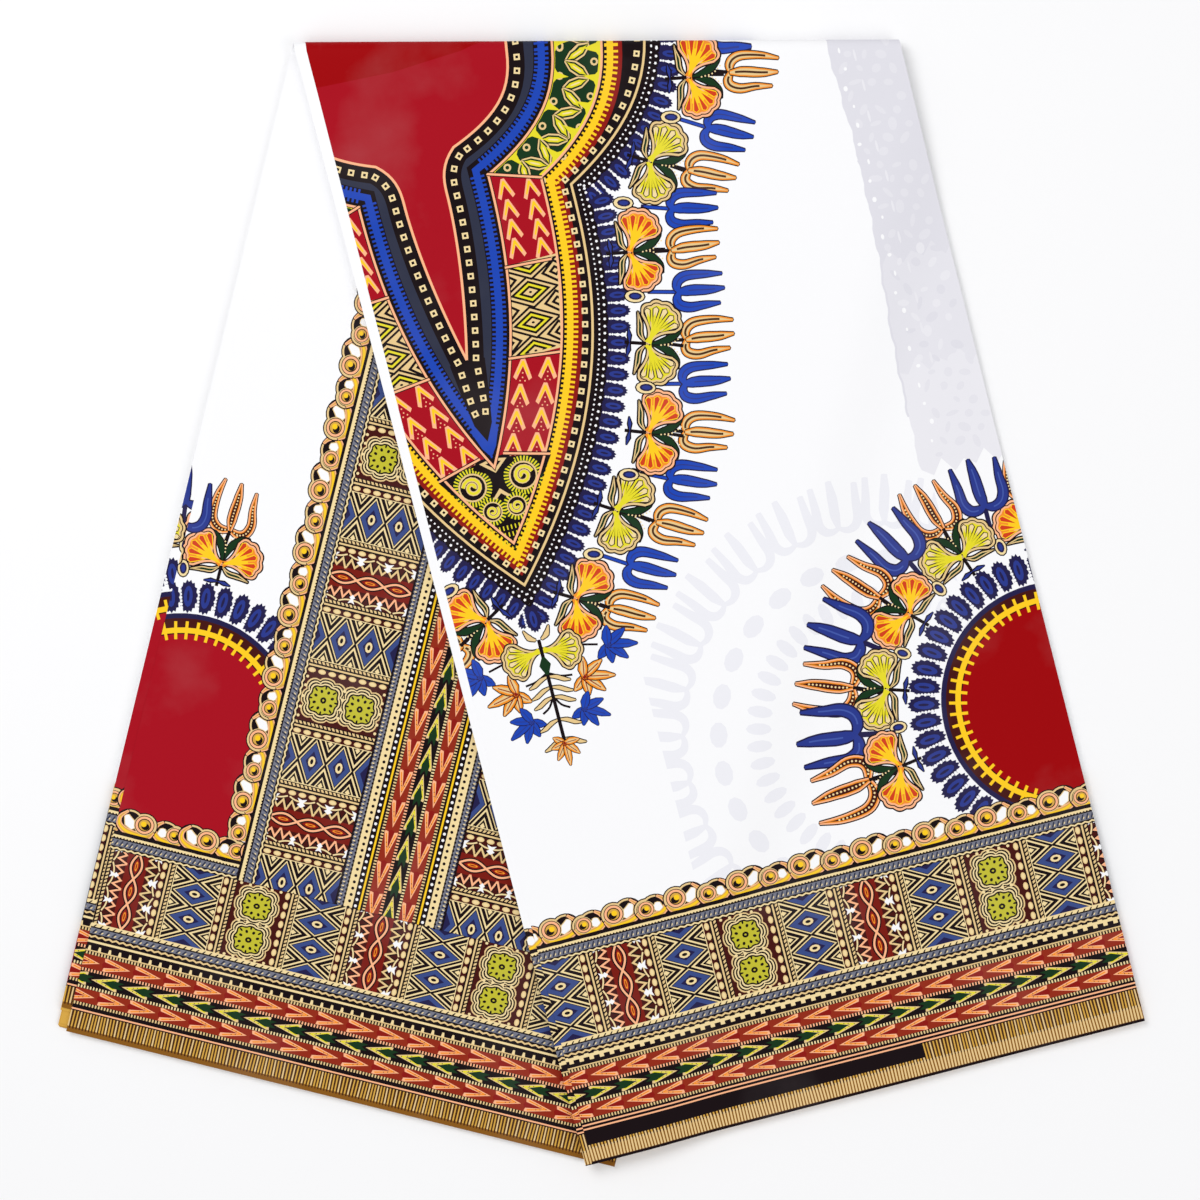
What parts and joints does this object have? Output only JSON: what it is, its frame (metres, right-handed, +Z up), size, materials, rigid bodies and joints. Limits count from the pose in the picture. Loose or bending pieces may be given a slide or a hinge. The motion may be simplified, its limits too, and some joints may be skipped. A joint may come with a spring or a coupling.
{
  "type": "folded length of dashiki-print cotton cloth",
  "caption": "Length of dashiki-print cotton, shop-folded to a strip and folded once over itself, lying flat with two skewed wings.",
  "frame": {"origin": "on the surface the cloth lies on, under the middle of its box", "axes": "+Z up through the cloth's thickness; +Y from the two hems towards the fold; +X to the side of the upper, right wing"},
  "size_m": [0.5866, 0.607, 0.0117],
  "materials": {
    "right_wing_print": "white waxed cotton with a crimson, navy, blue and gold dashiki print, slight sheen",
    "left_wing_print": "the same print in gold, brown, grey-blue and red, with white ground above it",
    "hidden_cloth": "stacked edges of white cotton, printed at the hems"
  },
  "bodies": {
    "root": {"right_wing_face": "right_wing_print", "left_wing_face": "left_wing_print", "hidden_layers": "hidden_cloth"}
  },
  "joints": []
}
